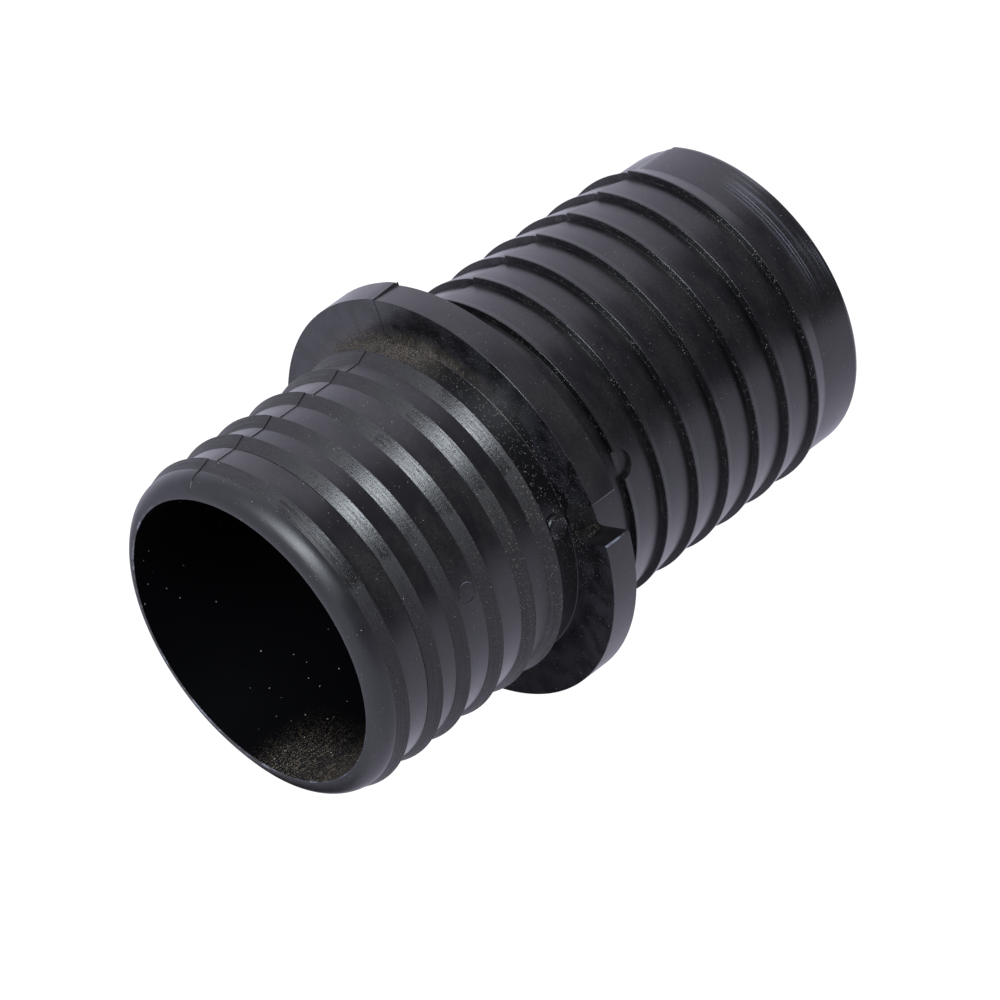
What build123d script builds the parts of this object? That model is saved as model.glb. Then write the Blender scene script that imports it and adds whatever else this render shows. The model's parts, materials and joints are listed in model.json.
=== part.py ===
from build123d import *
import os

# Lay-flat hose connector: one moulded tube with a ribbed shank for lay-flat hose, a notched
# flange, and a barbed shank for a second hose.
# Millimetres. +Z is the tube's axis: the nose stands on Z = 0 and the mouth is on top.
# The mould halves met in the XZ plane, and the flange's notch faces -Y.

# Tube
bore_radius = 22.2
nose_wall = 2.8
nose_length = 10.5
nose_bevel = 1.0

# Barbed shank, between the nose and the flange
barb_count = 7
barb_pitch = 6.45
barb_wall = 2.8
barb_height = 1.0
barb_crest_land = 0.25
first_barb_ramp_length = 2.4
barb_face_lean = 0.15
barb_neck_length = 6.3

# Flange
flange_height = 6.7
flange_thickness = 4.6

# Ribbed shank, between the flange and the mouth
rib_wall = 2.75
rib_height = 1.0
rib_ramp_length = 2.0
rib_neck_length = 4.05
rib_wide_pitch = 6.45
rib_narrow_pitch = 5.4

# Mouth
lip_wall = 3.1
lip_land = 0.35

# Notch in the flange: one wall runs into a round, the other into a facet that widens upwards
notch_width = 6.2
notch_offset = 0.35
notch_floor_rise = 0.45
notch_round = 2.45
notch_facet_bottom = 0.45
notch_facet_top = 1.5
notch_facet_steepness = 1.4
notch_edge_bevel = 0.3

# Marks of two ejector pins that pressed from -Y
flat_pin_diameter = 4.2
flat_pin_offset = 2.3
flat_pin_setback = 0.4
boss_pin_diameter = 3.7
boss_pin_height = 0.7

# Radii, worked out from the bore and the walls
nose_radius = bore_radius + nose_wall
barb_root = bore_radius + barb_wall
barb_crest = barb_root + barb_height
rib_root = bore_radius + rib_wall
rib_crest = rib_root + rib_height
flange_radius = rib_root + flange_height
lip_radius = bore_radius + lip_wall
lip_round = lip_wall - lip_land

# Heights, counted up from the nose
barb_heights = [nose_length + i * barb_pitch for i in range(barb_count)]
flange_bottom = barb_heights[-1] + barb_neck_length
flange_top = flange_bottom + flange_thickness
first_rib = flange_top + rib_neck_length
rib_pitches = [rib_narrow_pitch, rib_wide_pitch, rib_wide_pitch, rib_narrow_pitch, rib_wide_pitch]
rib_heights = [first_rib + sum(rib_pitches[:i]) for i in range(len(rib_pitches) + 1)]
lip_start = rib_heights[-1] + rib_ramp_length
tube_length = lip_start + lip_round


def barb_outline(height):
    """One barb as (radius, height) points: its crest land, and the root above its steep face.

    The long ramp up to the crest starts at the root of the barb before."""
    return [
        (barb_crest, height - barb_crest_land),
        (barb_crest, height),
        (barb_root, height + barb_face_lean),
    ]


def flange_outline():
    """The flange as (radius, height) points."""
    return [
        (barb_root, flange_bottom),
        (flange_radius, flange_bottom),
        (flange_radius, flange_top),
        (rib_root, flange_top),
    ]


def rib_outline(height, end_radius):
    """One rib as (radius, height) points: its square step, then its ramp."""
    return [
        (rib_root, height),
        (rib_crest, height),
        (end_radius, height + rib_ramp_length),
    ]


def tube_profile():
    """Half section of the tube wall, on the side where X is the radius."""
    first_ramp_start = barb_heights[0] - barb_crest_land - first_barb_ramp_length
    outline = [(bore_radius, 0), (nose_radius - nose_bevel, 0), (nose_radius, nose_bevel)]
    outline.append((nose_radius, first_ramp_start))
    for height in barb_heights:
        outline += barb_outline(height)
    outline += flange_outline()
    for height in rib_heights:
        outline += rib_outline(height, lip_radius if height == rib_heights[-1] else rib_root)
    lip_top = (bore_radius + lip_land, tube_length)
    with BuildSketch(Plane.XZ) as profile:
        with BuildLine():
            Polyline(*outline)
            RadiusArc(outline[-1], lip_top, -lip_round)
            Polyline(lip_top, (bore_radius, tube_length), outline[0])
        make_face()
    return profile.sketch


def notch_section(height, facet):
    """The notch's section at one height: the facet's wall on the left, the round on the right."""
    left = -notch_offset - notch_width / 2
    right = left + notch_width
    floor = -(rib_root + notch_floor_rise)
    outside = -(flange_radius + notch_width)
    with BuildSketch(Plane.XY.offset(height)) as section:
        with BuildLine():
            Polyline(
                (right - notch_round, floor),
                (left + facet, floor),
                (left, floor - facet * notch_facet_steepness),
                (left, outside),
                (right, outside),
                (right, floor - notch_round),
            )
            RadiusArc((right, floor - notch_round), (right - notch_round, floor), -notch_round)
        make_face()
    return section.sketch


def notch_cutter():
    """The notch as a bar along Z, as long as the flange is thick."""
    bottom = notch_section(flange_bottom, notch_facet_bottom)
    top = notch_section(flange_top, notch_facet_top)
    return loft([bottom, top], ruled=True)


def pin(diameter, x, height, inner, outer):
    """A round pin along Y, from one distance behind the parting plane to another."""
    middle = -(inner + outer) / 2
    return Pos(x, middle, height) * Rot(90, 0, 0) * Cylinder(diameter / 2, outer - inner)


def pin_boss():
    """The low round boss on the neck, left where an ejector pin stopped short."""
    neck_middle = flange_top + rib_neck_length / 2
    return pin(boss_pin_diameter, 0, neck_middle, bore_radius + rib_wall / 2, rib_root + boss_pin_height)


def hose_connector():
    body = revolve(tube_profile(), Axis.Z) - notch_cutter()
    rim_corners = body.edges().filter_by(Axis.Z).sort_by(Axis.Y)[:2]
    body = chamfer(rim_corners, notch_edge_bevel)
    flat_pin_height = barb_heights[-1] - flat_pin_setback
    body -= pin(flat_pin_diameter, flat_pin_offset, flat_pin_height, barb_root, flange_radius)
    body += pin_boss()
    return body


os.makedirs("parts", exist_ok=True)
export_step(hose_connector(), "parts/hose_connector.step")
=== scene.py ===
import json
import math

import bmesh
import bpy
from mathutils import Matrix, Vector


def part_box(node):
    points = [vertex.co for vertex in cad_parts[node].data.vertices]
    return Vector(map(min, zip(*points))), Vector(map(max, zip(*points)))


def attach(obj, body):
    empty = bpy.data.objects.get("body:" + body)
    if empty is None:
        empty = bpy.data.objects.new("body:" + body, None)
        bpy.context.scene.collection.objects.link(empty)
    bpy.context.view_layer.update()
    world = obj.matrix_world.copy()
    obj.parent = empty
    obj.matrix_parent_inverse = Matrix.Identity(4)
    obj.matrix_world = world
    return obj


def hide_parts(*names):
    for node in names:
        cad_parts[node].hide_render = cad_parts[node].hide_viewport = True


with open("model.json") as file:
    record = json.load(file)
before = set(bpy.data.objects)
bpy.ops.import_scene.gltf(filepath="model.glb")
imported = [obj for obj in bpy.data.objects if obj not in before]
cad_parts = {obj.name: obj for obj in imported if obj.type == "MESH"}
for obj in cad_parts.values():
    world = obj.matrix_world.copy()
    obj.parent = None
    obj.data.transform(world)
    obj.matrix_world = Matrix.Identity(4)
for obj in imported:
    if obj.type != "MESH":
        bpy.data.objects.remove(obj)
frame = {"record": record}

bl_info = {
    "name": "Lay-flat hose connector",
    "version": (1, 0, 0),
    "blender": (4, 5, 0),
    "location": "View3D > Sidebar > Connector",
    "description": "Builds a moulded black hose connector with its worn plastic finish, and a pale studio",
    "category": "Object",
}

NODE = "hose_connector"
MM = 0.001

CAD_LOW, CAD_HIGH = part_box(NODE)
MOUNTS = {mount["name"]: mount for mount in frame["record"]["mounts"]}


def mount_size(mount, size):
    """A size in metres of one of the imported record's mounts."""
    return MOUNTS[mount]["dims"][size] * MM


# Property groups

def length(name, description, default):
    """A length property, given in millimetres and stored in metres."""
    return bpy.props.FloatProperty(
        name=name,
        description=description,
        default=default * MM,
        min=0,
        subtype="DISTANCE",
        unit="LENGTH",
        precision=5,
    )


def turn(name, description, default):
    """An angle property, given in degrees and stored in radians."""
    return bpy.props.FloatProperty(
        name=name, description=description, default=math.radians(default), subtype="ANGLE", unit="ROTATION"
    )


def offset(name, description, default):
    """A sideways offset in X and Y, given in millimetres and stored in metres."""
    return bpy.props.FloatVectorProperty(
        name=name,
        description=description,
        default=[part * MM for part in default],
        size=2,
        subtype="TRANSLATION",
        unit="LENGTH",
    )


def tint(name, description, default):
    """A colour property."""
    return bpy.props.FloatVectorProperty(
        name=name, description=description, default=default, size=3, min=0, max=1, subtype="COLOR"
    )


def share(name, description, default):
    """A property from 0 to 1."""
    return bpy.props.FloatProperty(
        name=name, description=description, default=default, min=0, max=1, subtype="FACTOR"
    )


class ConnectorSizes(bpy.types.PropertyGroup):
    """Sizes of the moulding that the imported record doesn't state."""

    nose_wall: length("Nose wall", "Wall of the plain nose", 2.8)
    nose_length: length("Nose length", "From the nose's end to the first barb's crest", 10.5)
    nose_round: length("Nose round", "Rounding of the nose's outer corner", 1.3)
    barb_count: bpy.props.IntProperty(name="Barbs", description="Barbs on the hose shank", default=7, min=1)
    barb_pitch: length("Barb pitch", "From crest to crest", 6.45)
    barb_height: length("Barb height", "Crest above root", 1.0)
    barb_land: length("Barb land", "Flat on each barb's crest", 0.25)
    first_ramp: length("First ramp", "Length of the first barb's sloped side", 2.4)
    barb_lean: length("Barb lean", "Lean of the steep side", 0.15)
    rib_height: length("Rib height", "Crest above root", 1.0)
    rib_ramp: length("Rib ramp", "Length of the sloped side", 2.0)
    rib_neck: length("Rib neck", "Plain tube between the flange and the first rib", 4.05)
    rib_wide: length("Wide rib pitch", "Wider spacing of the ribs", 6.45)
    rib_narrow: length("Narrow rib pitch", "Closer spacing of the ribs", 5.4)
    lip_wall: length("Lip wall", "Wall behind the rounded lip", 3.1)
    lip_land: length("Lip land", "Flat ring between the bore and the lip's round", 0.35)
    edge_round: length("Edge round", "Rounding of sharp outer corners", 0.08)
    root_round: length("Root round", "Rounding of inner corners", 0.03)
    flange_root_round: length("Flange root round", "Rounding where the flange meets the tube", 0.1)
    crease: length("Crease", "Fine groove at the foot of the last rib but one", 0.12)
    columns: bpy.props.IntProperty(name="Columns", description="Faces round the tube", default=240, min=48)


class MouldMarks(bpy.types.PropertyGroup):
    """Marks that the mould left."""

    notch_width: length("Notch width", "Between the walls of the flange's notch", 6.2)
    notch_offset: length("Notch offset", "How far the notch's middle lies to the left of the Y axis", 0.35)
    notch_rise: length("Notch rise", "Notch floor above the ribs' root", 0.45)
    notch_round: length("Notch round", "Round between the floor and the right wall", 2.45)
    facet_bottom: length("Facet at bottom", "Width of the sloped facet at the flange's lower edge", 0.45)
    facet_top: length("Facet at top", "Width of the sloped facet at the flange's upper edge", 1.5)
    facet_steepness: bpy.props.FloatProperty(
        name="Facet steepness", description="Height of the sloped facet for its width", default=1.4, min=0
    )
    notch_bevel: length("Notch bevel", "Bevel of the notch's outer corners", 0.3)
    flat_pin_width: length("Flat pin width", "Pin mark cut into the last barb", 4.2)
    flat_pin_offset: length("Flat pin offset", "Sideways from the notch's middle", 2.3)
    flat_pin_setback: length("Flat pin setback", "Below the last barb's crest", 0.4)
    boss_width: length("Boss width", "Round pin boss on the neck", 3.7)
    boss_height: length("Boss height", "Boss above the ribs' root", 0.7)
    boss_round: length("Boss round", "Rounding of the boss's top", 0.66)
    ring_width: length("Ring width", "Faint round pin mark between two ribs", 2.9)
    ring_height: length("Ring height", "Ring's place along the axis", 79.8)
    ring_wire: length("Ring wire", "Thickness of the raised ring", 0.18)
    off_nose: offset("Far half at nose", "How far the far mould half sits off at the nose", (-0.35, -2.2))
    off_neck: offset("Far half at last barb", "How far it sits off under the flange", (-0.3, -0.6))
    off_flange: offset("Far half at flange", "How far it sits off at the flange's lower edge", (0.4, -1.1))
    off_lip: offset("Far half at ribs", "How far it sits off above the flange", (0.14, -0.8))
    fin: length("Fin", "Height of the thin flash along the seam", 0.04)
    crack: length("Crack", "Depth of the groove behind the flash", 0.06)
    spur: length("Spur", "Flash that sticks out at the flange's edge", 0.3)


class PlasticFinish(bpy.types.PropertyGroup):
    """Colours and gloss of the plastic and its dust."""

    plastic: tint("Plastic", "Black plastic", (0.0024, 0.0023, 0.0029))
    # The bore's colour is the black plastic made darker: painted shade inside the tube.
    shaded: tint("Bore", "Black plastic inside the bore", (0.0012, 0.0012, 0.0016))
    haze: tint("Haze", "Thin film of dust on smooth faces", (0.0150, 0.0130, 0.0125))
    # The film is a pale bluish colour that paints a sheen on the flange's upper face.
    film: tint("Film", "Pale film on the flange's upper face", (0.010, 0.010, 0.012))
    dust: tint("Dust", "Tan dust in corners", (0.24, 0.185, 0.125))
    fleck: tint("Fleck", "Light specks", (0.42, 0.39, 0.35))
    # Light bluish colour for edges and scratches: partly chips and wear, partly a painted highlight.
    chipped_and_glint: tint("Chipped edge", "Light worn stretches of edges", (0.13, 0.14, 0.17))
    # The lip film is a pale bluish colour that paints the lip's even sheen.
    sheen: tint("Lip film", "Even film on the lip", (0.0100, 0.0096, 0.0115))
    gloss: share("Smooth roughness", "Roughness of smooth faces", 0.31)
    satin: share("Satin roughness", "Roughness of the flange's rim and the lip", 0.41)
    scuffed: share("Scuffed roughness", "Roughness of the ribs' ramps", 0.36)


class StudioSetup(bpy.types.PropertyGroup):
    """Floor, lights and camera."""

    azimuth: turn("Azimuth", "Camera's place round the part", 28.4335)
    elevation: turn("Elevation", "Camera's height above the floor", 32.6599)
    roll: turn("Roll", "Turn of the camera about its own axis", 125.9589)
    distance: length("Distance", "From the camera to the point that it looks at", 703.207)
    aim: bpy.props.FloatVectorProperty(
        name="Aim",
        description="Point that the camera looks at",
        default=(-0.004648, -0.000799, 0.051856),
        size=3,
        subtype="TRANSLATION",
        unit="LENGTH",
    )
    lens: bpy.props.FloatProperty(
        name="Lens",
        description="Focal length",
        default=180,
        min=1,
        subtype="DISTANCE_CAMERA",
        unit="CAMERA",
    )
    floor_glow: bpy.props.FloatProperty(
        name="Floor glow", description="Brightness of the floor in the plastic", default=1.0, min=0
    )
    tent_glow: bpy.props.FloatProperty(
        name="Tent glow", description="Brightness of the white tent in the plastic", default=0.9, min=0
    )
    floor_tint: tint("Floor tint", "Colour of the light from the floor and the tent", (0.83, 0.82, 1.0))
    strip_power: bpy.props.FloatProperty(
        name="Strip power", description="Tall narrow main light", default=6.0, min=0, unit="POWER"
    )
    strip_tint: tint("Strip tint", "Colour of the main light", (0.86, 0.93, 1.0))
    shade_left: turn("Shade left", "Where the dark opening ends, on one side of the camera", 58)
    shade_right: turn("Shade right", "Where the dark opening ends, on the other side of the camera", 62)
    shade_apex: length("Shade apex", "How far before the part's axis the floor's dark sector begins", 13.8)


# Sizes worked out from the frame

class Moulding:
    """Radii and heights in metres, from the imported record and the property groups."""

    def __init__(self, sizes):
        self.bore = mount_size("waterway", "r_mm")
        self.rib_crest = mount_size("lay_flat_shank", "r_mm")
        self.barb_crest = mount_size("barbed_shank", "r_mm")
        self.flange = (CAD_HIGH.x - CAD_LOW.x) / 2
        self.top = CAD_HIGH.z
        self.flange_low = mount_size("barbed_shank", "length_mm")
        self.flange_high = self.top - mount_size("lay_flat_shank", "length_mm")
        self.nose = self.bore + sizes.nose_wall
        self.barb_root = self.barb_crest - sizes.barb_height
        self.rib_root = self.rib_crest - sizes.rib_height
        self.lip = self.bore + sizes.lip_wall
        self.barbs = [sizes.nose_length + i * sizes.barb_pitch for i in range(sizes.barb_count)]
        wide = sizes.rib_wide
        narrow = sizes.rib_narrow
        gaps = [sizes.rib_neck, narrow, wide, wide, narrow, wide]
        self.ribs = [self.flange_high + sum(gaps[: i + 1]) for i in range(len(gaps))]
        self.lip_round = sizes.lip_wall - sizes.lip_land
        self.fin_gap = 0.1 * MM


# Modelling steps

def start_piece(name):
    """Adds one vertex to a new object at the origin and leaves it in edit mode."""
    bpy.ops.object.select_all(action="DESELECT")
    bpy.ops.mesh.primitive_plane_add(size=MM)
    piece = bpy.context.object
    piece.name = name
    bpy.ops.object.mode_set(mode="EDIT")
    bpy.ops.mesh.select_all(action="SELECT")
    bpy.ops.mesh.merge(type="CENTER")
    return piece


def draw_loop(points):
    """Extrudes the single vertex along the points and closes the loop."""
    bpy.ops.transform.translate(value=points[0])
    place = Vector(points[0])
    for point in [*points[1:], points[0]]:
        step = Vector(point) - place
        bpy.ops.mesh.extrude_vertices_move(TRANSFORM_OT_translate={"value": step})
        place = Vector(point)
    bpy.ops.mesh.select_all(action="SELECT")
    bpy.ops.mesh.remove_doubles(threshold=0.001 * MM)


def pick(piece, test, faces=False):
    """Selects the vertices, or faces, that pass the test, and nothing else. Returns how many."""
    bpy.ops.mesh.select_mode(type="FACE" if faces else "VERT")
    bpy.ops.mesh.select_all(action="DESELECT")
    mesh = bmesh.from_edit_mesh(piece.data)
    found = [item for item in (mesh.faces if faces else mesh.verts) if test(item)]
    for item in found:
        item.select_set(True)
    mesh.select_flush_mode()
    bmesh.update_edit_mesh(piece.data)
    return len(found)


def round_corners(piece, corners, size, segments):
    """Rounds the drawn loop's vertices at these places."""
    near = 0.002 * MM
    if pick(piece, lambda v: any((v.co - Vector(c)).length < near for c in corners)):
        bpy.ops.mesh.bevel(offset=size, segments=segments, affect="VERTICES")


def combine(piece, tool, operation):
    """Adds or takes away the tool's shape in object mode, and deletes the tool."""
    bpy.ops.object.mode_set(mode="OBJECT")
    bpy.ops.object.select_all(action="DESELECT")
    piece.select_set(True)
    bpy.context.view_layer.objects.active = piece
    bpy.ops.object.modifier_add(type="BOOLEAN")
    modifier = piece.modifiers[-1]
    modifier.operation = operation
    modifier.solver = "EXACT"
    modifier.object = tool
    bpy.ops.object.modifier_apply(modifier=modifier.name)
    bpy.ops.object.select_all(action="DESELECT")
    tool.select_set(True)
    bpy.ops.object.delete()


def radius_of(place):
    """Distance from the tube's axis."""
    return math.hypot(place.x, place.y)


# The connector

def section_corners(sizes, m):
    """Half section as (radius, height, rounding), up the outside and down the bore."""
    edge = sizes.edge_round
    root = sizes.root_round
    first_foot = m.barbs[0] - sizes.barb_land - sizes.first_ramp
    corners = [(m.bore, 0, edge), (m.nose, 0, sizes.nose_round), (m.nose, first_foot, edge)]
    for crest in m.barbs:
        corners.append((m.barb_crest, crest - sizes.barb_land, 0))
        corners.append((m.barb_crest, crest, edge))
        corners.append((m.barb_root, crest + sizes.barb_lean, root))
    corners.append((m.barb_root, m.flange_low, root))
    corners.append((m.flange, m.flange_low, edge))
    corners.append((m.flange, m.flange_high, edge))
    corners.append((m.rib_root, m.flange_high, sizes.flange_root_round))
    for step in m.ribs:
        end = m.lip if step == m.ribs[-1] else m.rib_root
        corners.append((m.rib_root, step, root))
        corners.append((m.rib_crest, step, edge))
        corners.append((end, step + sizes.rib_ramp, 0))
        if step == m.ribs[-2]:
            corners.append((end - sizes.crease, step + sizes.rib_ramp + sizes.crease / 3, 0))
            corners.append((end, step + sizes.rib_ramp + sizes.crease, 0))
    corners.append((m.lip, m.top, m.lip_round))
    corners.append((m.bore, m.top, edge))
    return corners


def round_segments(rounding):
    """Segments of one rounding: more for the nose's, and most for the lip's."""
    if rounding > 2 * MM:
        return 24
    return 10 if rounding > 1 * MM else 4


def spin_section(piece, sizes, m):
    """Draws the half section, rounds its corners and spins it into the tube."""
    corners = section_corners(sizes, m)
    draw_loop([(radius, 0, height) for radius, height, rounding in corners])
    for rounding in sorted({c[2] for c in corners} - {0}):
        places = [(radius, 0, height) for radius, height, own in corners if own == rounding]
        round_corners(piece, places, rounding, round_segments(rounding))
    bpy.ops.mesh.select_all(action="SELECT")
    bpy.ops.mesh.spin(steps=sizes.columns, angle=2 * math.pi, center=(0, 0, 0), axis=(0, 0, 1), dupli=False)
    bpy.ops.mesh.select_all(action="SELECT")
    bpy.ops.mesh.remove_doubles(threshold=0.001 * MM)
    bpy.ops.mesh.normals_make_consistent(inside=False)


def smooth(low, high, value):
    """0 below low, 1 above high, and an even turn between them."""
    t = min(1, max(0, (value - low) / (high - low)))
    return t * t * (3 - 2 * t)


def far_half_stations(m, marks):
    """Heights along the tube, for the tube and for the flange's rim, with the far half's offset at each."""
    edge = 0.01 * MM
    tube = [
        (0, marks.off_nose),
        (m.flange_low + edge, marks.off_neck),
        (m.flange_high - edge, marks.off_lip),
        (m.top, marks.off_lip),
    ]
    rim = [(m.flange_low, marks.off_flange), (m.flange_high, marks.off_lip)]
    return tube, rim


def far_half_offset(place, m, marks):
    """Sideways offset in metres of the far half's skin at one place.

    It fades out at the closed seam on -X."""
    tube, rim = far_half_stations(m, marks)
    stations = rim if radius_of(place) > m.rib_crest + 1 * MM else tube
    found = Vector(stations[-1][1])
    for (low, below), (high, above) in zip(stations, stations[1:]):
        if place.z <= high:
            part = min(1, max(0, (place.z - low) / (high - low)))
            found = Vector(below).lerp(Vector(above), part)
            break
    angle = math.degrees(math.atan2(place.y, place.x))
    fade_start, fade_end = 140, 178
    fade = 1 - smooth(fade_start, fade_end, angle)
    if place.z > m.ribs[-1]:
        fade *= smooth(m.bore, m.lip - 0.5 * MM, radius_of(place))
    clear_of_seam = smooth(0.1 * MM, 5 * MM, place.y)
    return Vector((found.x * fade, found.y * fade * clear_of_seam))


def shift_far_half(piece, sizes, m, marks):
    """Sets the far mould half off the near one, with a sharp step along the seam on +X."""
    seam_turn = 2 * math.pi / sizes.columns * 1.5
    skin = m.bore + 0.25 * MM
    squeeze = 0.12

    def beside_seam(vertex):
        angle = math.atan2(vertex.co.y, vertex.co.x)
        return 1e-6 < angle < seam_turn and radius_of(vertex.co) > skin

    pick(piece, beside_seam)
    bpy.ops.transform.resize(value=(1, squeeze, 1), center_override=(0, 0, 0))
    for gap in (2 * m.fin_gap, m.fin_gap):
        bpy.ops.mesh.select_all(action="SELECT")
        bpy.ops.mesh.bisect(plane_co=(0, -gap, 0), plane_no=(0, 1, 0))
    bpy.ops.object.mode_set(mode="OBJECT")
    offsets = (marks.off_nose, marks.off_neck, marks.off_flange, marks.off_lip)
    most = max(abs(part) for pair in offsets for part in pair)
    moves = {"out": (1, "X"), "in": (-1, "X"), "across": (-1, "Y")}
    for name in moves:
        piece.vertex_groups.new(name=name)
    for vertex in piece.data.vertices:
        if vertex.co.y < 1e-6 or radius_of(vertex.co) < skin:
            continue
        off = far_half_offset(vertex.co, m, marks)
        for name, amount in (("out", off.x), ("in", -off.x), ("across", -off.y)):
            if amount > 0:
                piece.vertex_groups[name].add([vertex.index], amount / most, "REPLACE")
    for name, (sign, axis) in moves.items():
        bpy.ops.object.modifier_add(type="DISPLACE")
        modifier = piece.modifiers[-1]
        modifier.vertex_group = name
        modifier.direction = axis
        modifier.mid_level = 0
        modifier.strength = sign * most
        bpy.ops.object.modifier_apply(modifier=modifier.name)
    piece.vertex_groups.clear()
    bpy.ops.object.mode_set(mode="EDIT")


def raise_flash(piece, m, marks):
    """Lifts a thin fin of flash along the seam, with a crack behind it and a spur on the flange's edge."""
    wall = m.bore + 1 * MM
    beyond = m.flange + 1 * MM

    def move(y, low, high, shift, inner=wall, outer=beyond):
        """Moves the seam's vertices at one Y, between two heights and two radii."""

        def chosen(vertex):
            place = vertex.co
            return abs(place.y - y) < 0.005 * MM and low < place.z < high and inner < place.x < outer

        pick(piece, chosen)
        bpy.ops.transform.translate(value=shift)

    under_flange = m.flange_low - 1 * MM
    under_lip = m.top - 1 * MM
    move(-m.fin_gap, under_flange, under_lip, (marks.fin, 0, 0))
    move(0, under_flange, under_lip, (-marks.crack, 0, 0))
    move(0, 1 * MM, under_flange, (-marks.crack / 3, 0, 0))
    face_low = m.flange_high - 0.2 * MM
    sink = (0, 0, -marks.crack)
    move(0, face_low, m.flange_high + 0.05 * MM, sink, inner=m.rib_crest + 0.3 * MM)
    move(0, face_low, m.flange_high + 0.4 * MM, sink, outer=m.rib_root + 0.5 * MM)
    spur = (marks.spur, 0, -marks.spur)
    move(-m.fin_gap, 0, m.flange_low + 0.15 * MM, spur, inner=m.flange - 0.3 * MM)


def notch_tool(m, marks):
    """Bar with the notch's section: a round runs into one wall, and a widening facet into the other."""
    left = -marks.notch_offset - marks.notch_width / 2
    right = left + marks.notch_width
    floor = -(m.rib_root + marks.notch_rise)
    rim = -math.sqrt(m.flange**2 - (marks.notch_width / 2) ** 2) + marks.notch_bevel
    flare = 3 * MM
    overlap = 0.5 * MM
    low = m.flange_low - overlap
    high = m.flange_high + overlap
    facet = marks.facet_bottom
    wall_foot = floor - facet * marks.facet_steepness
    turns = 10
    points = [(left + facet, floor)]
    points.append((left, wall_foot))
    points.append((left, rim))
    points.append((left - flare, rim - flare))
    points.append((right + flare, rim - flare))
    points.append((right, rim))
    for i in range(turns + 1):
        angle = math.pi / 2 * i / turns
        across = right - marks.notch_round * (1 - math.cos(angle))
        points.append((across, floor - marks.notch_round * (1 - math.sin(angle))))
    tool = start_piece("notch_tool")
    draw_loop([(x, y, low) for x, y in points])
    bpy.ops.mesh.edge_face_add()
    bpy.ops.mesh.extrude_region_move(TRANSFORM_OT_translate={"value": (0, 0, high - low)})
    widening = marks.facet_top - facet
    near = 0.01 * MM

    def at_top(vertex, x):
        return vertex.co.z > high - near and abs(vertex.co.x - x) < near

    pick(tool, lambda v: at_top(v, left + facet))
    bpy.ops.transform.translate(value=(widening, 0, 0))
    pick(tool, lambda v: at_top(v, left) and abs(v.co.y - wall_foot) < near)
    bpy.ops.transform.translate(value=(0, -widening * marks.facet_steepness, 0))
    bpy.ops.mesh.select_all(action="SELECT")
    bpy.ops.mesh.normals_make_consistent(inside=False)
    return tool


def pin_tool(name, place, width, depth, rounding):
    """Round pin along Y with a rounded end that faces -Y."""
    bpy.ops.object.select_all(action="DESELECT")
    bpy.ops.mesh.primitive_cylinder_add(
        vertices=64, radius=width / 2, depth=depth, location=place, rotation=(math.pi / 2, 0, 0)
    )
    tool = bpy.context.object
    tool.name = name
    bpy.ops.object.transform_apply(location=True, rotation=True, scale=True)
    if rounding:
        bpy.ops.object.mode_set(mode="EDIT")
        front = place[1] - depth / 2
        pick(tool, lambda f: f.calc_center_median().y < front + 0.01 * MM, faces=True)
        bpy.ops.mesh.bevel(offset=rounding, segments=4, affect="EDGES")
        bpy.ops.object.mode_set(mode="OBJECT")
    return tool


def ring_tool(m, marks):
    """Thin ring round a pin's end, half sunk in the tube's skin."""
    bpy.ops.object.select_all(action="DESELECT")
    bpy.ops.mesh.primitive_torus_add(
        major_segments=64,
        minor_segments=8,
        major_radius=marks.ring_width / 2,
        minor_radius=marks.ring_wire / 2,
        location=(0, -m.rib_root + 0.02 * MM, marks.ring_height),
        rotation=(math.pi / 2, 0, 0),
    )
    tool = bpy.context.object
    tool.name = "ring_tool"
    bpy.ops.object.transform_apply(location=True, rotation=True, scale=True)
    return tool


def press_pins(piece, sizes, m, marks):
    """Cuts one pin's flat into the last barb, and adds the boss and the ring that two others left."""
    pin_length = 10 * MM
    flat_height = m.barbs[-1] - marks.flat_pin_setback
    flat_place = (marks.flat_pin_offset, -m.barb_root - pin_length / 2, flat_height)
    combine(piece, pin_tool("flat_pin", flat_place, marks.flat_pin_width, pin_length, 0), "DIFFERENCE")
    sunk = 1.5 * MM
    boss_place = (0, -(m.rib_root + (marks.boss_height - sunk) / 2), m.flange_high + sizes.rib_neck / 2)
    boss = pin_tool("boss", boss_place, marks.boss_width, marks.boss_height + sunk, marks.boss_round)
    combine(piece, boss, "UNION")
    combine(piece, ring_tool(m, marks), "UNION")


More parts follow.
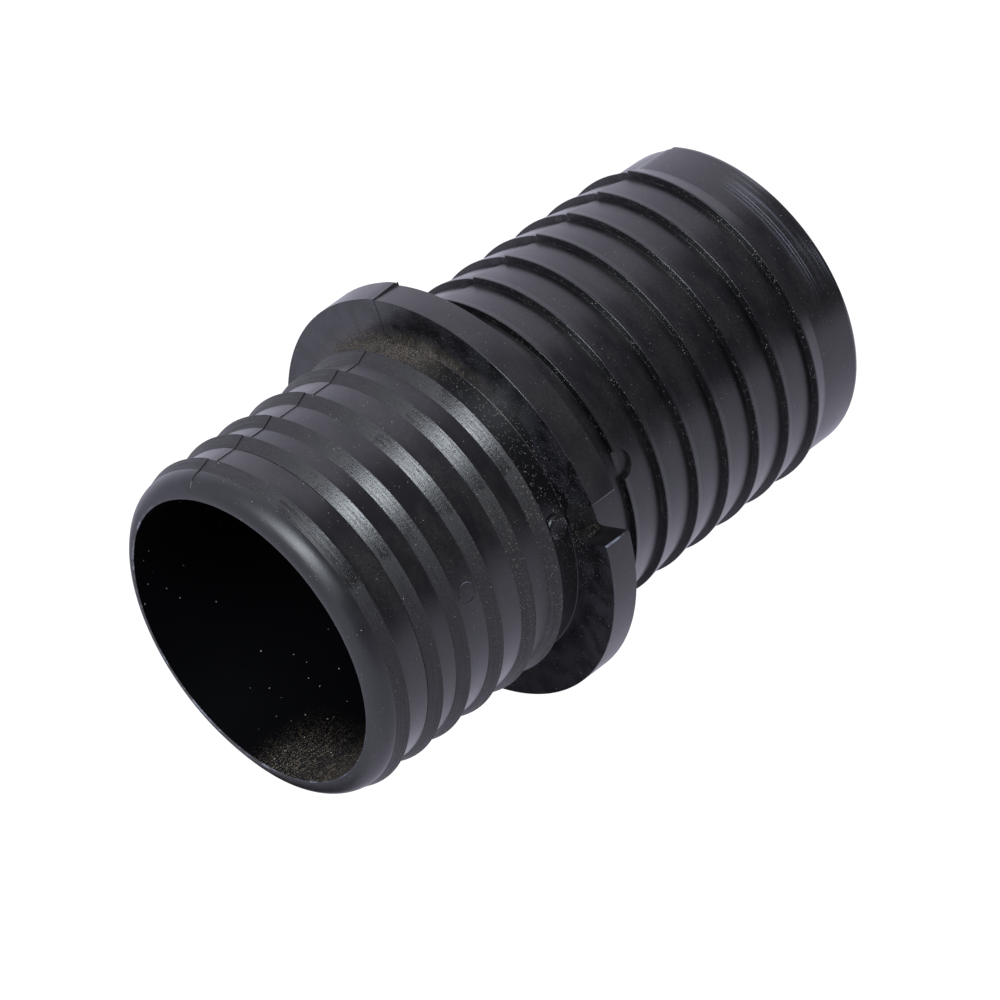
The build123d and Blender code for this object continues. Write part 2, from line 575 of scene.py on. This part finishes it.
def mark_regions(piece, sizes, m, marks):
    """Gives each region of the surface its own material slot, in the order of REGIONS."""
    slack = 0.02 * MM
    notch_half = marks.notch_width / 2

    def barb(place, radius, normal):
        first_foot = m.barbs[0] - sizes.barb_land - sizes.first_ramp
        outside = m.bore + 0.3 * MM < radius < m.barb_crest + slack
        return outside and first_foot < place.z < m.barbs[-1] and normal.z < 0.2

    def ramp(place, radius, normal):
        on_rib = any(step - slack < place.z < step + sizes.rib_ramp + slack for step in m.ribs)
        return on_rib and 0.25 < normal.z < 0.8 and radius < m.rib_crest + slack

    def corner(place, radius, normal):
        upward = normal.z > 0.3 and any(crest < place.z < crest + 1.2 * MM for crest in m.barbs)
        neck = m.flange_high - slack < place.z < m.ribs[0] + slack and radius < m.flange - 0.3 * MM
        return upward or neck

    def flange_top(place, radius, normal):
        at_top = m.flange_high - 0.2 * MM < place.z < m.flange_high + slack
        return at_top and radius > m.rib_crest + 0.5 * MM

    def rim(place, radius, normal):
        return radius > m.flange - 0.8 * MM and m.flange_low < place.z < m.flange_high - 0.1 * MM

    def lip(place, radius, normal):
        return place.z > m.ribs[-1] + sizes.rib_ramp

    def bore(place, radius, normal):
        return radius < m.bore + slack

    def notch(place, radius, normal):
        inside = m.flange_low < place.z < m.flange_high and abs(place.x + marks.notch_offset) < notch_half
        return inside and place.y < 0 and radius < m.flange - 0.8 * MM and normal.y < -0.3

    # Edges that get the light edge colour: worn, with a painted highlight along them.
    def worn_glinting_edge(place, radius, normal):
        mouth = place.z > m.top - 0.2 * MM and m.bore - slack < radius < m.bore + sizes.lip_land * 0.6
        off_ring = math.hypot(place.x, place.z - marks.ring_height) - marks.ring_width / 2
        ring = place.y < -m.rib_root - 0.02 * MM and abs(off_ring) < marks.ring_wire
        at_notch = m.flange_low < place.z < m.flange_high and place.y < -m.flange + 1 * MM
        off_wall = abs(place.x + marks.notch_offset) - notch_half
        bevel = at_notch and abs(off_wall) < marks.notch_bevel * 1.05 and 0.2 < abs(normal.x) < 0.95
        return mouth or ring or bevel

    tests = (barb, ramp, corner, flange_top, rim, lip, bore, notch, worn_glinting_edge)
    for index, test in enumerate(tests, start=1):

        def passes(face, test=test):
            place = face.calc_center_median()
            return test(place, radius_of(place), face.normal)

        pick(piece, passes, faces=True)
        piece.active_material_index = index
        bpy.ops.object.material_slot_assign()


# Materials

class Nodes:
    """Adds nodes to one tree and joins them up."""

    def __init__(self, tree):
        self.tree = tree

    def add(self, kind):
        return self.tree.nodes.new(kind)

    def join(self, source, target):
        self.tree.links.new(source, target)

    def feed(self, socket, value):
        """Sets a socket to a number, or links it to another node's output."""
        if isinstance(value, bpy.types.NodeSocket):
            self.join(value, socket)
        else:
            socket.default_value = value

    def math(self, operation, first, second):
        node = self.add("ShaderNodeMath")
        node.operation = operation
        self.feed(node.inputs[0], first)
        self.feed(node.inputs[1], second)
        return node.outputs[0]

    def times(self, first, *others):
        """Product of two or more values."""
        for other in others:
            first = self.math("MULTIPLY", first, other)
        return first

    def span(self, value, low, high, to_low=0.0, to_high=1.0):
        """Maps low..high to to_low..to_high with soft ends."""
        node = self.add("ShaderNodeMapRange")
        node.interpolation_type = "SMOOTHSTEP"
        self.feed(node.inputs["Value"], value)
        node.inputs["From Min"].default_value = low
        node.inputs["From Max"].default_value = high
        node.inputs["To Min"].default_value = to_low
        node.inputs["To Max"].default_value = to_high
        return node.outputs["Result"]

    def towards_camera(self, place, azimuth, apex=0.0):
        """The place split in X, Y and Z, turned so that X points to the camera, from an apex on X."""
        mapping = self.add("ShaderNodeMapping")
        mapping.inputs["Rotation"].default_value = (0, 0, math.pi / 2 - azimuth)
        mapping.inputs["Location"].default_value = (-apex, 0, 0)
        self.join(place, mapping.inputs["Vector"])
        split = self.add("ShaderNodeSeparateXYZ")
        self.join(mapping.outputs["Vector"], split.inputs["Vector"])
        return split.outputs["X"], split.outputs["Y"], split.outputs["Z"]

    def show(self, seen, lit, output):
        """Shows one shader to the camera, and lights the part by the other."""
        mix = self.add("ShaderNodeMixShader")
        self.join(self.add("ShaderNodeLightPath").outputs["Is Camera Ray"], mix.inputs["Fac"])
        self.join(lit, mix.inputs[1])
        self.join(seen, mix.inputs[2])
        self.join(mix.outputs["Shader"], output)


class Finish(Nodes):
    """One material with a Principled shader on Object coordinates."""

    def __init__(self, name):
        self.material = bpy.data.materials.new(name)
        self.material.use_nodes = True
        super().__init__(self.material.node_tree)
        self.tree.nodes.clear()
        output = self.add("ShaderNodeOutputMaterial")
        self.shader = self.add("ShaderNodeBsdfPrincipled")
        self.join(self.shader.outputs["BSDF"], output.inputs["Surface"])
        self.place = self.add("ShaderNodeTexCoord").outputs["Object"]

    def stretched(self, across, along, shift=0.0):
        """The place in noise units, with one scale across the axis and one along it."""
        mapping = self.add("ShaderNodeMapping")
        mapping.inputs["Scale"].default_value = (across, across, along)
        mapping.inputs["Location"].default_value = (shift, shift * 2, shift * 3)
        self.join(self.place, mapping.inputs["Vector"])
        return mapping.outputs["Vector"]

    def noise(self, across, along, detail=3.0, roughness=0.5, shift=0.0):
        node = self.add("ShaderNodeTexNoise")
        node.inputs["Scale"].default_value = 1
        node.inputs["Detail"].default_value = detail
        node.inputs["Roughness"].default_value = roughness
        self.join(self.stretched(across, along, shift), node.inputs["Vector"])
        return node.outputs["Fac"]

    def height(self):
        """Height above the floor."""
        node = self.add("ShaderNodeSeparateXYZ")
        self.join(self.place, node.inputs["Vector"])
        return node.outputs["Z"]

    def vector(self, operation, source, second=(0, 0, 0)):
        node = self.add("ShaderNodeVectorMath")
        node.operation = operation
        node.inputs[1].default_value = second
        self.join(source, node.inputs[0])
        return node.outputs

    def flat(self):
        """The place without its height."""
        return self.vector("MULTIPLY", self.place, (1, 1, 0))["Vector"]

    def radius(self):
        """Distance from the tube's axis."""
        return self.vector("LENGTH", self.flat())["Value"]

    def facing(self, angle):
        """Cosine of the turn about the axis between the place and an angle in degrees."""
        unit = self.vector("NORMALIZE", self.flat())["Vector"]
        way = (math.cos(math.radians(angle)), math.sin(math.radians(angle)), 0)
        return self.vector("DOT_PRODUCT", unit, way)["Value"]

    def specks(self, scale, radius, kept, shift=0.0):
        """Round specks scattered over cells, 1 / scale wide in metres, of which a share holds one."""
        node = self.add("ShaderNodeTexVoronoi")
        node.inputs["Scale"].default_value = 1
        self.join(self.stretched(scale, scale, shift), node.inputs["Vector"])
        split = self.add("ShaderNodeSeparateColor")
        self.join(node.outputs["Color"], split.inputs["Color"])
        chosen = self.math("LESS_THAN", split.outputs["Red"], kept)
        dot = self.span(node.outputs["Distance"], radius, radius * 0.6)
        return self.times(dot, chosen, self.span(split.outputs["Green"], 0, 1, 0.35, 1.0))

    def mix(self, first, second, amount):
        """Mixes two colours, each a colour property or another node's output."""
        node = self.add("ShaderNodeMix")
        node.data_type = "RGBA"
        self.feed(node.inputs["Factor"], amount)
        for name, colour in (("A", first), ("B", second)):
            given = isinstance(colour, bpy.types.NodeSocket)
            self.feed(node.inputs[name], colour if given else (*colour, 1))
        return node.outputs["Result"]

    def bump(self, height, distance, under=None):
        """Bump of a height up to one distance in metres, over another bump or alone."""
        node = self.add("ShaderNodeBump")
        node.inputs["Distance"].default_value = distance
        node.inputs["Strength"].default_value = 1
        self.join(height, node.inputs["Height"])
        if under is not None:
            self.join(under, node.inputs["Normal"])
        return node.outputs["Normal"]

    def finish(self, colour, roughness, normal):
        self.feed(self.shader.inputs["Base Color"], colour)
        self.feed(self.shader.inputs["Roughness"], roughness)
        self.join(normal, self.shader.inputs["Normal"])
        self.shader.inputs["IOR"].default_value = 1.5
        return self.material


def add_specks(f, colour, look, shift):
    """Light specks of two sizes, thinly scattered over a colour."""
    big = f.specks(900, 0.06, 0.3, shift=shift)
    small = f.specks(2400, 0.12, 0.2, shift=shift + 6)
    colour = f.mix(colour, look.fleck, big)
    return f.mix(colour, look.fleck, small)


def hazed(f, look, along, shift):
    """Colour, roughness and bump of glossy plastic under a patchy haze, with light specks."""
    blotches = f.noise(90, along, detail=5, roughness=0.6)
    grain = f.noise(3200, 3200, detail=2, shift=3)
    film = f.times(f.span(blotches, 0.36, 0.62), f.span(grain, 0.35, 0.65, 0.35, 1.0))
    colour = add_specks(f, f.mix(look.plastic, look.haze, film), look, shift)
    roughness = f.span(blotches, 0.3, 0.75, look.gloss * 0.9, look.gloss * 1.2)
    peel = f.noise(1200, 1200, detail=2, shift=9)
    return colour, roughness, f.bump(peel, 0.004 * MM)


def smooth_plastic(look):
    """Glossy tube, with fine scratches round the nose's end, which get a painted glint on the side that
    faces the main light.
    """
    f = Finish("smooth_plastic")
    colour, roughness, normal = hazed(f, look, 160, 5)
    patches = f.span(f.noise(60, 300, detail=3, shift=4), 0.35, 0.6)
    # Scratches round the nose's end, kept to the side that faces the main light.
    glinting_scratches = f.times(f.span(f.facing(-54), 0.88, 0.99), f.span(f.height(), 6.2 * MM, 4.0 * MM), patches)
    lines = f.noise(14, 5200, detail=4, roughness=0.7, shift=7)
    normal = f.bump(f.times(lines, f.span(glinting_scratches, 0, 1, 0.03, 1.0)), 0.15 * MM, under=normal)
    # Paints a light glint colour onto the scratch lines, only on the side that faces the main light.
    colour = f.mix(colour, look.chipped_and_glint, f.times(glinting_scratches, f.span(lines, 0.48, 0.62)))
    return f.finish(colour, roughness, normal)


def barb_plastic(look):
    """Barbs' long ramps: like the tube, but duller, and rubbed brighter along each crest."""
    f = Finish("barb_plastic")
    sizes = bpy.context.scene.connector_sizes
    pitch = sizes.barb_pitch
    colour, roughness, normal = hazed(f, look, 200, 7)
    since_crest = f.math("MODULO", f.math("SUBTRACT", f.height(), sizes.nose_length), pitch)
    rubbed = f.span(since_crest, pitch - 1.0 * MM, pitch - 0.7 * MM)
    f.feed(f.shader.inputs["Specular IOR Level"], f.span(rubbed, 0, 1, 0.38, 0.52))
    lines = f.noise(16, 4200, detail=3, roughness=0.6, shift=7)
    return f.finish(colour, roughness, f.bump(lines, 0.008 * MM, under=normal))


def scuffed_plastic(look):
    """Ribs' ramps: dull and grainy, and rubbed shiny in brushed streaks on one side."""
    f = Finish("scuffed_plastic")
    ragged = f.times(f.noise(300, 260, detail=4, roughness=0.7, shift=8), 0.06)
    worn = f.span(f.math("ADD", f.facing(-50), ragged), 0.975, 1.004)
    streaks = f.noise(110, 5200, detail=4, roughness=0.65)
    crossed = f.noise(2600, 260, detail=3, roughness=0.6, shift=2)
    nicks = f.noise(4200, 3600, detail=2, shift=4)
    dots = f.specks(3600, 0.34, 0.5, shift=13)
    colour = f.mix(look.plastic, look.haze, f.span(nicks, 0.35, 0.65, 0, 0.6))
    colour = add_specks(f, colour, look, 2)
    one_side = f.span(f.facing(-100), 0.75, 0.98)
    near_flange = f.span(f.height(), CAD_HIGH.z * 0.82, CAD_HIGH.z * 0.72)
    colour = f.mix(colour, look.dust, f.times(f.specks(4600, 0.30, 0.3, shift=15), one_side, near_flange))
    rough = f.span(worn, 0, 1, look.scuffed * 1.4, look.scuffed * 0.62)
    uneven = f.math("ADD", f.span(streaks, 0.35, 0.65, 0, 0.16), f.times(dots, 0.25))
    roughness = f.math("ADD", rough, uneven)
    normal = f.bump(streaks, 0.030 * MM)
    normal = f.bump(crossed, 0.014 * MM, under=normal)
    normal = f.bump(nicks, 0.010 * MM, under=normal)
    normal = f.bump(dots, -0.02 * MM, under=normal)
    return f.finish(colour, roughness, normal)


def dusty_plastic(look):
    """Steep faces and corners that a hand doesn't reach, with tan dust that is thick beside the flange."""
    f = Finish("dusty_plastic")
    near_seam = f.span(f.facing(2), 0.84, 0.995)
    patches = f.span(f.noise(160, 260, detail=4, shift=6), 0.25, 0.5, 0.6, 1.0)
    neck = f.span(f.height(), CAD_HIGH.z * 0.60, CAD_HIGH.z * 0.605)
    thick = f.times(near_seam, patches, neck)
    fine = f.specks(8500, 0.55, 0.7, shift=1)
    near_side = f.span(f.facing(-62), 0.2, 0.9, 0.25, 1)
    scattered = f.times(f.specks(5200, 0.30, 0.22, shift=5), near_side)
    coarse = f.specks(2400, 0.12, 0.15, shift=11)
    dust = f.times(fine, thick)
    colour = f.mix(look.plastic, look.dust, dust)
    colour = f.mix(colour, look.fleck, scattered)
    colour = f.mix(colour, look.fleck, coarse)
    roughness = f.span(thick, 0, 1, look.gloss * 1.2, 0.8)
    normal = f.bump(dust, 0.03 * MM)
    return f.finish(colour, roughness, normal)


def flange_plastic(look):
    """Flange's upper face: glossy, under a pale colour in patches that paints its sheen, with dust that
    thickens towards the tube near the seam.
    """
    f = Finish("flange_plastic")
    near_seam = f.span(f.facing(0), 0.55, 0.99)
    patches = f.span(f.noise(160, 160, detail=4, shift=6), 0.3, 0.65, 0.3, 1.0)
    at_root = f.span(f.radius(), CAD_HIGH.x * 0.90, CAD_HIGH.x * 0.79)
    thick = f.times(near_seam, patches, at_root)
    fine = f.specks(8500, 0.55, 0.7, shift=1)
    wide = f.times(f.span(f.facing(-50), 0.0, 0.9, 0.12, 1), f.span(at_root, 0, 1, 0.3, 1.0))
    scattered = f.times(f.specks(5200, 0.30, 0.25, shift=5), wide)
    coarse = f.specks(2200, 0.12, 0.15, shift=11)
    # Mixes in the pale film in patches: a painted sheen.
    colour = f.mix(look.plastic, look.film, f.span(f.noise(300, 300, detail=4), 0.4, 0.6))
    colour = f.mix(colour, look.dust, f.times(fine, thick))
    colour = f.mix(colour, look.fleck, scattered)
    colour = f.mix(colour, look.fleck, coarse)
    peel = f.noise(900, 900, detail=2, shift=9)
    normal = f.bump(peel, 0.004 * MM)
    return f.finish(colour, f.span(thick, 0, 1, look.gloss * 0.85, 0.7), normal)


def notch_plastic(look):
    """Floor and round of the flange's notch: dull and dirty, with specks of tan dust."""
    f = Finish("notch_plastic")
    patches = f.span(f.noise(500, 500, detail=3, shift=6), 0.35, 0.65)
    fine = f.times(f.specks(5200, 0.4, 0.5, shift=5), patches)
    colour = f.mix(look.plastic, look.dust, fine)
    f.shader.inputs["Specular IOR Level"].default_value = 0.22
    return f.finish(colour, look.scuffed * 1.6, f.bump(patches, 0.01 * MM))


def edge_wear_and_glint(look):
    """Edges of the mouth, the notch and the pin marks: lighter in short stretches, partly worn and partly a
    painted highlight.
    """
    f = Finish("edge_wear_and_glint")
    stretches = f.span(f.noise(420, 420, detail=5, roughness=0.7, shift=3), 0.46, 0.66)
    # Light colour in short stretches: chips, with a painted highlight along the edges.
    colour = f.mix(look.haze, look.chipped_and_glint, stretches)
    grain = f.noise(4000, 4000, detail=2)
    return f.finish(colour, 0.45, f.bump(grain, 0.02 * MM))


def rim_plastic(look):
    """Flange's rim: satin, under a patchy haze, with light specks."""
    f = Finish("rim_plastic")
    blotches = f.noise(120, 200, detail=4, shift=2)
    grain = f.noise(3000, 3000, detail=2)
    film = f.times(f.span(blotches, 0.3, 0.65, 0.2, 1.0), f.span(grain, 0.35, 0.65, 0.5, 1.0))
    colour = add_specks(f, f.mix(look.plastic, look.haze, film), look, 5)
    roughness = f.span(blotches, 0.3, 0.7, look.satin * 0.8, look.satin)
    normal = f.bump(grain, 0.006 * MM)
    return f.finish(colour, roughness, normal)


def lip_plastic(look):
    """Rounded lip: even, satin and a little dusty, under a pale colour in patches that paints its sheen."""
    f = Finish("lip_plastic")
    blotches = f.noise(140, 160, detail=4, shift=12)
    grain = f.noise(3600, 3600, detail=2, shift=1)
    film = f.times(f.span(blotches, 0.3, 0.7, 0.5, 1.0), f.span(grain, 0.3, 0.7, 0.6, 1.0))
    # Mixes in the lip film in patches: a painted sheen.
    colour = add_specks(f, f.mix(look.plastic, look.sheen, film), look, 9)
    roughness = f.span(blotches, 0.3, 0.7, look.satin * 0.92, look.satin * 1.08)
    normal = f.bump(grain, 0.016 * MM)
    return f.finish(colour, roughness, normal)


def bore_plastic(look):
    """Inside of the tube, in a darker copy of the black plastic that paints its shade, with a bed of brown
    dust near the mouth.
    """
    f = Finish("bore_plastic")
    low_side = f.span(f.facing(184), 0.82, 1.0)
    near_mouth = f.span(f.height(), CAD_HIGH.z - 16 * MM, CAD_HIGH.z - 2 * MM)
    bed = f.times(low_side, near_mouth)
    clumps = f.span(f.noise(900, 900, detail=3, shift=2), 0.3, 0.6, 0.35, 1.0)
    fine = f.specks(6500, 0.55, 0.5, shift=3)
    coarse = f.specks(800, 0.09, 0.3, shift=12)
    # The bore's base colour is the darker copy of the plastic: painted shade.
    colour = f.mix(look.shaded, look.dust, f.times(fine, bed, clumps))
    colour = f.mix(colour, look.fleck, coarse)
    peel = f.noise(600, 600, detail=2)
    normal = f.bump(peel, 0.008 * MM)
    f.shader.inputs["Specular IOR Level"].default_value = 0.25
    return f.finish(colour, f.span(bed, 0, 1, look.gloss, 0.8), normal)


def pale_floor(setup):
    """Floor that is white to the eye, and glows in the plastic, with a dark sector on the camera's side."""
    material = bpy.data.materials.new("pale_floor")
    material.use_nodes = True
    n = Nodes(material.node_tree)
    n.tree.nodes.clear()
    seen = n.add("ShaderNodeEmission")
    seen.inputs["Color"].default_value = (1, 1, 1, 1)
    seen.inputs["Strength"].default_value = 1.1
    glow = n.add("ShaderNodeEmission")
    glow.inputs["Color"].default_value = (*setup.floor_tint, 1)
    place = n.add("ShaderNodeTexCoord").outputs["Object"]
    out, side = n.towards_camera(place, setup.azimuth, setup.shade_apex)[:2]
    angle = n.math("ARCTAN2", side, out)
    left = n.span(angle, setup.shade_left * 0.55, setup.shade_left, 0, setup.floor_glow)
    middle = n.span(angle, -setup.shade_right / 2, setup.shade_left / 2, 0.20, 0.36)
    right = n.span(angle, -setup.shade_right * 0.7, -setup.shade_right, 0, setup.floor_glow * 0.9)
    strength = n.math("ADD", n.math("ADD", left, right), middle)
    n.join(strength, glow.inputs["Strength"])
    surface = n.add("ShaderNodeOutputMaterial").inputs["Surface"]
    n.show(seen.outputs["Emission"], glow.outputs["Emission"], surface)
    return material


# Operators

class CONNECTOR_OT_body(bpy.types.Operator):
    """Build the moulded connector and its finishes"""

    bl_idname = "connector.body"
    bl_label = "Hose connector"

    def execute(self, context):
        sizes = context.scene.connector_sizes
        marks = context.scene.connector_marks
        look = context.scene.connector_finish
        m = Moulding(sizes)
        piece = start_piece("connector_body")
        spin_section(piece, sizes, m)
        shift_far_half(piece, sizes, m, marks)
        raise_flash(piece, m, marks)
        bpy.ops.object.mode_set(mode="OBJECT")
        combine(piece, notch_tool(m, marks), "DIFFERENCE")
        press_pins(piece, sizes, m, marks)
        piece.select_set(True)
        context.view_layer.objects.active = piece
        for material in REGIONS:
            piece.data.materials.append(material(look))
        bpy.ops.object.mode_set(mode="EDIT")
        mark_regions(piece, sizes, m, marks)
        bpy.ops.object.mode_set(mode="OBJECT")
        bpy.ops.object.shade_smooth_by_angle(angle=math.radians(24))
        bpy.ops.object.modifier_add(type="WEIGHTED_NORMAL")
        modifier = piece.modifiers[-1]
        modifier.keep_sharp = True
        modifier.weight = 100
        bpy.ops.object.modifier_apply(modifier=modifier.name)
        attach(piece, "root")
        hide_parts(NODE)
        return {"FINISHED"}


class CONNECTOR_OT_stage(bpy.types.Operator):
    """Set the pale floor, the light, the tent and the camera"""

    bl_idname = "connector.stage"
    bl_label = "Studio"

    def execute(self, context):
        setup = context.scene.connector_studio
        bpy.ops.object.select_all(action="DESELECT")
        self.floor(setup)
        self.strip(setup)
        self.sky(setup)
        self.shade(setup)
        self.camera(setup)
        return {"FINISHED"}

    def floor(self, setup):
        bpy.ops.mesh.primitive_plane_add(size=40)
        floor = bpy.context.object
        floor.name = "floor"
        floor.data.materials.append(pale_floor(setup))

    def strip(self, setup):
        """Tall narrow main light, high on one side of the camera, and leaning."""
        beside_camera = math.radians(29)
        rise = math.radians(36)
        lean = math.radians(19)
        distance = 0.6
        width = 0.21
        tall = 0.53
        middle = Vector((0, 0, (CAD_LOW.z + CAD_HIGH.z) / 2))
        turned = setup.azimuth - math.pi / 2 + beside_camera
        level = math.cos(rise)
        away = Vector((math.cos(turned) * level, math.sin(turned) * level, math.sin(rise)))
        bpy.ops.object.light_add(type="AREA", location=middle + away * distance)
        light = bpy.context.object
        light.name = "strip"
        light.data.shape = "RECTANGLE"
        light.data.size = width
        light.data.size_y = tall
        light.data.energy = setup.strip_power
        light.data.color = setup.strip_tint
        aimed = (-away).to_track_quat("-Z", "Y").to_matrix()
        light.rotation_euler = (aimed @ Matrix.Rotation(-lean, 3, "Z")).to_euler()

    def shade(self, setup):
        """Dark card behind the part, seen only in reflections: painted shade that stands in for the shaded
        ground beside the part, and keeps the tent out of one side of the flange's upper face.
        """
        width = 50 * MM
        tall = 60 * MM
        place = Vector((-80 * MM, -43 * MM, 112 * MM))
        bpy.ops.mesh.primitive_plane_add(size=1)
        card = bpy.context.object
        card.name = "painted_shade_card"
        bpy.ops.object.mode_set(mode="EDIT")
        bpy.ops.transform.resize(value=(tall, width, 1))
        bpy.ops.object.mode_set(mode="OBJECT")
        turned = Matrix.Rotation(setup.azimuth - math.pi / 2, 3, "Z")
        card.location = turned @ place
        card.rotation_euler = (turned @ Matrix.Rotation(math.pi / 2, 3, "Y")).to_euler()
        bpy.ops.object.transform_apply(location=True, rotation=True, scale=True)
        black = bpy.data.materials.new("painted_shade_card")
        black.use_nodes = True
        shader = black.node_tree.nodes["Principled BSDF"]
        shader.inputs["Base Color"].default_value = (0, 0, 0, 1)
        shader.inputs["Specular IOR Level"].default_value = 0
        card.data.materials.append(black)
        # Seen only in reflections, as painted shade.
        card.visible_camera = False
        card.visible_diffuse = False
        card.visible_shadow = False

    def sky(self, setup):
        """White tent with a dark opening on the camera's side."""
        world = bpy.data.worlds.new("studio")
        bpy.context.scene.world = world
        world.use_nodes = True
        n = Nodes(world.node_tree)
        tent = n.tree.nodes["Background"]
        pale = n.add("ShaderNodeBackground")
        pale.inputs["Color"].default_value = (1, 1, 1, 1)
        pale.inputs["Strength"].default_value = 1
        way = n.add("ShaderNodeTexCoord").outputs["Generated"]
        out, side, up = n.towards_camera(way, setup.azimuth)
        angle = n.math("ARCTAN2", side, out)
        left = n.span(angle, setup.shade_left * 1.1, setup.shade_left * 0.5)
        right = n.span(angle, -setup.shade_right, -setup.shade_right * 0.7)
        opening = n.times(left, right, n.span(up, 0.97, 0.75))
        lit = n.times(n.span(opening, 0, 1, 1, 0.05), n.span(side, 0.3, -0.3, 1, 1.25), setup.tent_glow)
        tent.inputs["Color"].default_value = (*setup.floor_tint, 1)
        n.join(lit, tent.inputs["Strength"])
        surface = n.tree.nodes["World Output"].inputs["Surface"]
        n.show(pale.outputs["Background"], tent.outputs["Background"], surface)

    def camera(self, setup):
        level = math.cos(setup.elevation)
        across = math.sin(setup.azimuth) * level
        back = Vector((across, -math.cos(setup.azimuth) * level, math.sin(setup.elevation)))
        bpy.ops.object.camera_add(location=Vector(setup.aim) + back * setup.distance)
        camera = bpy.context.object
        camera.name = "photo_camera"
        aimed = (-back).to_track_quat("-Z", "Y").to_matrix()
        camera.rotation_euler = (aimed @ Matrix.Rotation(-setup.roll, 3, "Z")).to_euler()
        camera.data.lens = setup.lens
        camera.data.sensor_width = 36
        camera.data.clip_start = 0.01
        camera.data.clip_end = 100
        bpy.context.scene.camera = camera
        bpy.context.scene.view_settings.view_transform = "Standard"


class CONNECTOR_PT_panel(bpy.types.Panel):
    """Pieces of the connector's scene"""

    bl_label = "Connector"
    bl_idname = "CONNECTOR_PT_panel"
    bl_space_type = "VIEW_3D"
    bl_region_type = "UI"
    bl_category = "Connector"

    def draw(self, context):
        for operator in PIECES:
            self.layout.operator(operator.bl_idname)
        for name, group in GROUPS.items():
            box = self.layout.box()
            for size in group.__annotations__:
                box.prop(getattr(context.scene, name), size)


REGIONS = (
    smooth_plastic,
    barb_plastic,
    scuffed_plastic,
    dusty_plastic,
    flange_plastic,
    rim_plastic,
    lip_plastic,
    bore_plastic,
    notch_plastic,
    edge_wear_and_glint,
)
PIECES = (CONNECTOR_OT_body, CONNECTOR_OT_stage)
GROUPS = {
    "connector_sizes": ConnectorSizes,
    "connector_marks": MouldMarks,
    "connector_finish": PlasticFinish,
    "connector_studio": StudioSetup,
}


def register():
    for name, group in GROUPS.items():
        bpy.utils.register_class(group)
        setattr(bpy.types.Scene, name, bpy.props.PointerProperty(type=group))
    for operator in PIECES:
        bpy.utils.register_class(operator)
    bpy.utils.register_class(CONNECTOR_PT_panel)


def unregister():
    bpy.utils.unregister_class(CONNECTOR_PT_panel)
    for operator in reversed(PIECES):
        bpy.utils.unregister_class(operator)
    for name, group in reversed(GROUPS.items()):
        delattr(bpy.types.Scene, name)
        bpy.utils.unregister_class(group)


def main():
    register()
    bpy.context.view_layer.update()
    bpy.ops.connector.stage()
    bpy.ops.connector.body()


if __name__ == "__main__":
    main()
